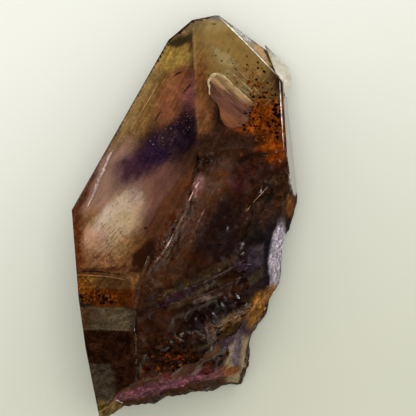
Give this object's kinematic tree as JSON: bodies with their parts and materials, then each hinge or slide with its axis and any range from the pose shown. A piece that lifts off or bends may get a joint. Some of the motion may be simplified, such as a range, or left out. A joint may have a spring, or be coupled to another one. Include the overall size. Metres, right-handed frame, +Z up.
{
  "type": "amethyst point",
  "caption": "Loose amethyst point: one smoky violet quartz crystal with a sharp faceted tip, stepped prism faces and a broken base, lying on its flat back.",
  "frame": {"origin": "under the middle of the crystal, on the surface that its flat back lies on", "axes": "+Y along the crystal from its broken base to its tip, +Z up from the flat back to the front faces, +X to the right"},
  "size_m": [0.034, 0.0603, 0.0289],
  "materials": {
    "amethyst": "clear smoky brown to violet quartz: smooth, glassy natural faces with growth ledges, frosted and iron-stained where it is broken"
  },
  "bodies": {
    "root": {"amethyst_point": "amethyst"}
  },
  "joints": []
}
